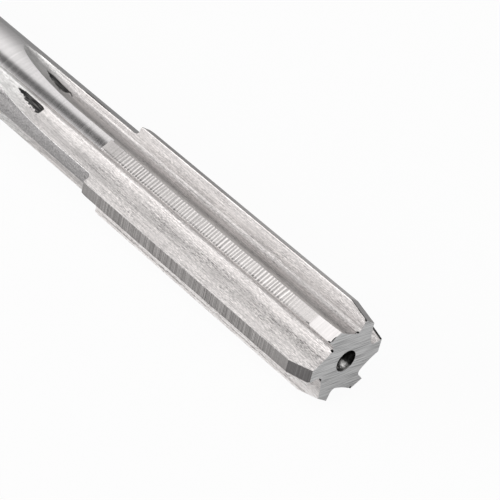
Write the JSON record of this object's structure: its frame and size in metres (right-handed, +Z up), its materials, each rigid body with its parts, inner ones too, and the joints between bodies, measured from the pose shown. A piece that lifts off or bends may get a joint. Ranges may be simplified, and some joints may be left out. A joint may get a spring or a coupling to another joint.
{
  "type": "machine reamer",
  "caption": "Straight-flute machine reamer with a plain round shank, a short tapered lead and centre holes, for finishing drilled holes to size.",
  "frame": {"origin": "centre of the shank's end face, on the tool's axis", "axes": "+X along the axis towards the cutting end; +Z up as the tool lies on its teeth, with a cutting edge and the next tooth's heel on the surface; +Y to the side"},
  "size_m": [0.17, 0.016, 0.0146],
  "materials": {
    "tool_steel": "bright ground steel, with grinding marks across the lands and lengthwise streaks in the flutes"
  },
  "bodies": {
    "root": {"reamer": "tool_steel"}
  },
  "joints": []
}
